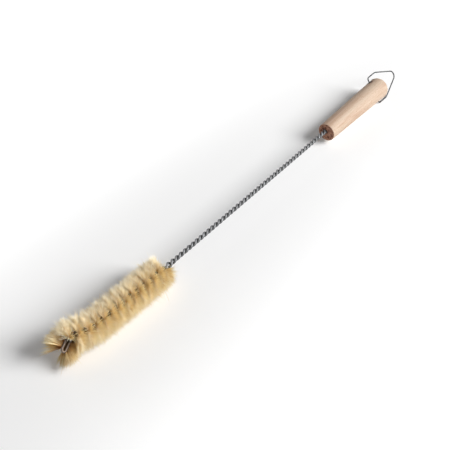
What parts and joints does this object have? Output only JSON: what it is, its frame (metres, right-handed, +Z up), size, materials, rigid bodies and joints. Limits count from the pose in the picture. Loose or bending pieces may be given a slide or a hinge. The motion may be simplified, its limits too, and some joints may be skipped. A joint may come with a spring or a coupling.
{
  "type": "bottle brush",
  "caption": "Long bottle brush: natural bristles gripped in a folded, twisted wire, with a tapered wooden handle and a swinging wire hanging loop.",
  "frame": {"origin": "centre of the part's footprint, on the surface that the brush lies on", "axes": "+X along the brush toward the handle, +Z up from the surface"},
  "size_m": [0.4986, 0.0354, 0.0341],
  "materials": {
    "beech": "turned and sanded beech, unvarnished",
    "galvanised_wire": "galvanised steel wire, dull grey",
    "bristle": "natural straw-coloured bristle",
    "loop_wire": "thin grey steel wire"
  },
  "bodies": {
    "brush": {"handle": "beech", "twisted_wire": "galvanised_wire", "bristles": "bristle"},
    "loop": {"hanging_loop": "loop_wire"}
  },
  "joints": [
    {"name": "loop_swing", "type": "hinge", "parent": "brush", "child": "loop", "pos_m": [0.20469, -0.00408, 0.01172], "axis": [0.0021, 0.6314, 0.7754], "range_deg": [-150, 150]}
  ]
}
